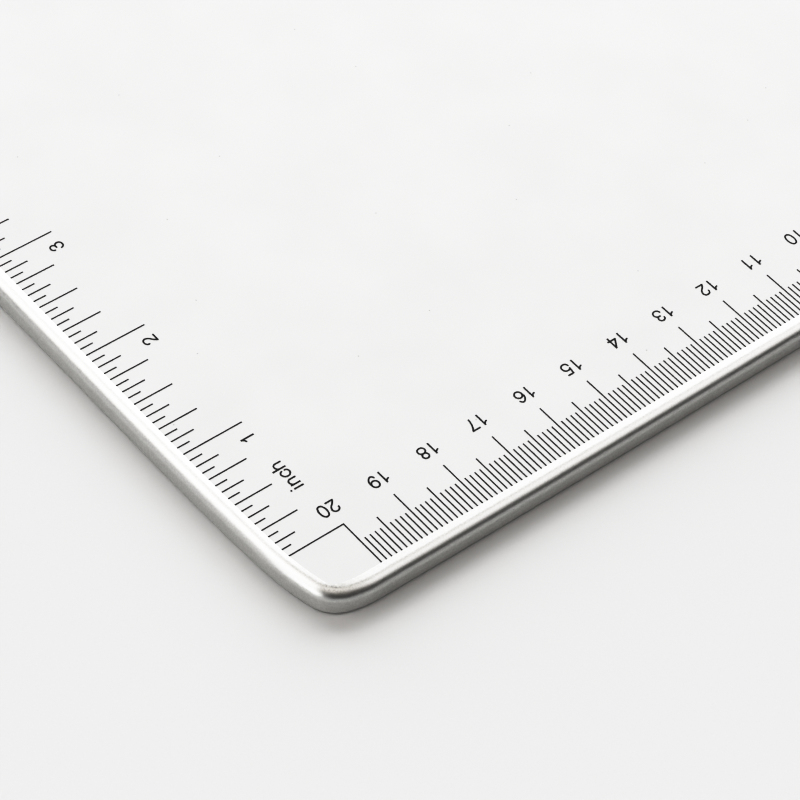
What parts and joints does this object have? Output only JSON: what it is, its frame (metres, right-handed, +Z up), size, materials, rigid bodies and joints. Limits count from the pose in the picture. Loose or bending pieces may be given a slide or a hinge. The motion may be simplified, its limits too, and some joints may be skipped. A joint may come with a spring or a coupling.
{
  "type": "ruled steel layout board",
  "caption": "Flat rectangular steel board with rounded corners and turned-down edges, with a centimetre scale along one short side and an inch scale along the next long side.",
  "frame": {"origin": "middle of the underside, in the plane of the table the board rests on", "axes": "+Z up through the printed face, +X along the short side that carries the centimetre scale in the direction its numbers grow, +Y along the long sides towards that centimetre scale"},
  "size_m": [0.2276, 0.3296, 0.005],
  "materials": {
    "satin_steel": "fine bead-blasted satin",
    "base_steel": "plain rolled",
    "hardboard": "smooth one side",
    "adhesive_film": "clear acrylic adhesive",
    "rubber_sheet": "fine grained matt",
    "black_ink": "screen-printed satin black"
  },
  "bodies": {
    "root": {"top_pan": "satin_steel", "pan_adhesive": "adhesive_film", "core_board": "hardboard", "base_adhesive": "adhesive_film", "base_plate": "base_steel", "sheet_adhesive": "adhesive_film", "non_slip_sheet": "rubber_sheet", "metric_graduations": "black_ink", "inch_graduations": "black_ink", "corner_mark": "black_ink", "metric_numerals": "black_ink", "inch_numerals": "black_ink", "metric_unit_label": "black_ink", "inch_unit_label": "black_ink"}
  },
  "joints": []
}
